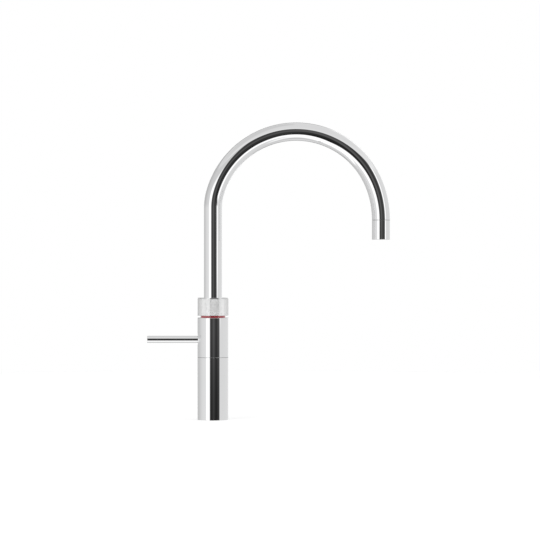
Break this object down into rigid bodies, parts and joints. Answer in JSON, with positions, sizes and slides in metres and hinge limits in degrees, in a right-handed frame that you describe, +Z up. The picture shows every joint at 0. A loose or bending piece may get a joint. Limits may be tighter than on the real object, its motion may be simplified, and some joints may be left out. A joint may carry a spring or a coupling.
{
  "type": "boiling water tap",
  "caption": "Tall swan-neck kitchen tap for boiling, hot and cold water: round body, side lever, and a knurled push-and-turn ring knob over a light ring.",
  "frame": {"origin": "on the tap's axis, in the plane of the worktop that its base stands on", "axes": "+Z up along the riser, +X towards the spout's outlet, -X along the lever, -Y the front"},
  "size_m": [0.3186, 0.048, 0.4477],
  "materials": {
    "chrome": "polished chrome plate",
    "brass": "machined, unplated",
    "steel": "stainless, plain",
    "rubber": "moulded black rubber",
    "red_lens": "translucent deep red, polished",
    "circuit_board": "green solder resist",
    "dark_plastic": "moulded, satin",
    "pale_plastic": "moulded acetal, satin",
    "ceramic": "lapped white alumina",
    "silicone_hose": "satin silicone"
  },
  "bodies": {
    "root": {"lower_body_shell": "chrome", "upper_body_shell": "chrome", "body_joint_seal": "rubber", "base_gasket": "rubber", "threaded_shank": "brass", "rubber_washer": "rubber", "clamp_washer": "steel", "back_nut": "brass", "valve_manifold": "brass", "cold_inlet_nipple": "brass", "hot_inlet_nipple": "brass", "boiling_inlet_nipple": "brass", "boiling_valve_seat": "ceramic", "boiling_valve_spring": "steel", "spout_socket": "brass", "boiling_riser_tube": "steel", "light_ring": "red_lens", "led_board": "circuit_board", "sleeve_clip": "steel", "upper_slip_bush": "pale_plastic", "lower_slip_bush": "pale_plastic", "spout_retaining_clip": "steel", "cartridge_housing": "pale_plastic", "cartridge_nut": "brass", "cartridge_base": "pale_plastic", "fixed_ceramic_disc": "ceramic"},
    "spout": {"spout_spigot": "brass", "lower_spigot_seal": "rubber", "upper_spigot_seal": "rubber", "hose_swivel_fitting": "brass", "spout_pipe": "chrome", "boiling_hose": "silicone_hose", "nozzle_joiner": "brass", "nozzle_seal": "rubber", "nozzle_sleeve": "chrome", "outlet_insert": "dark_plastic"},
    "valve_drive": {"valve_drive_sleeve": "brass", "knob_return_spring": "steel"},
    "knob": {"knob_ring": "chrome", "knob_carrier": "dark_plastic", "knob_cap": "chrome"},
    "boiling_valve": {"boiling_valve_plunger": "steel"},
    "turret": {"cartridge_turret": "pale_plastic", "lever_pivot_pin": "steel"},
    "lever": {"cartridge_stem": "steel", "lever_dome": "chrome", "lever_rod": "chrome", "lever_stud": "steel"},
    "mixing_disc": {"disc_carrier": "pale_plastic", "moving_ceramic_disc": "ceramic"}
  },
  "joints": [
    {"name": "spout_swivel", "type": "hinge", "parent": "root", "child": "spout", "pos_m": [0, 0, 0.15], "axis": [0, 0, 1], "continuous": true},
    {"name": "knob_turn", "type": "hinge", "parent": "root", "child": "valve_drive", "pos_m": [0, 0, 0.145], "axis": [0, 0, 1], "range_deg": [0, 90]},
    {"name": "knob_press", "type": "slide", "parent": "valve_drive", "child": "knob", "axis": [0, 0, -1], "range_m": [0, 0.0022], "stiffness_N_per_m": 1500, "springref_m": -0.002, "deforming": ["knob_return_spring"]},
    {"name": "boiling_valve_lift", "type": "slide", "parent": "root", "child": "boiling_valve", "axis": [0, 0, -1], "range_m": [0, 0.00271], "deforming": ["boiling_valve_spring"]},
    {"name": "lever_temperature", "type": "hinge", "parent": "root", "child": "turret", "pos_m": [-0.014, 0, 0.1053], "axis": [-1, 0, 0], "range_deg": [-45, 45]},
    {"name": "lever_lift", "type": "hinge", "parent": "turret", "child": "lever", "pos_m": [-0.014, 0, 0.1053], "axis": [0, 1, 0], "range_deg": [0, 18]},
    {"name": "mixing_disc_slide", "type": "slide", "parent": "turret", "child": "mixing_disc", "axis": [0, 0, -1], "range_m": [0, 0.00378]}
  ],
  "couplings": [
    {"joint": "boiling_valve_lift", "follows": "knob_turn", "m_per_rad": 0.0017189},
    {"joint": "mixing_disc_slide", "follows": "lever_lift", "m_per_rad": 0.012}
  ]
}
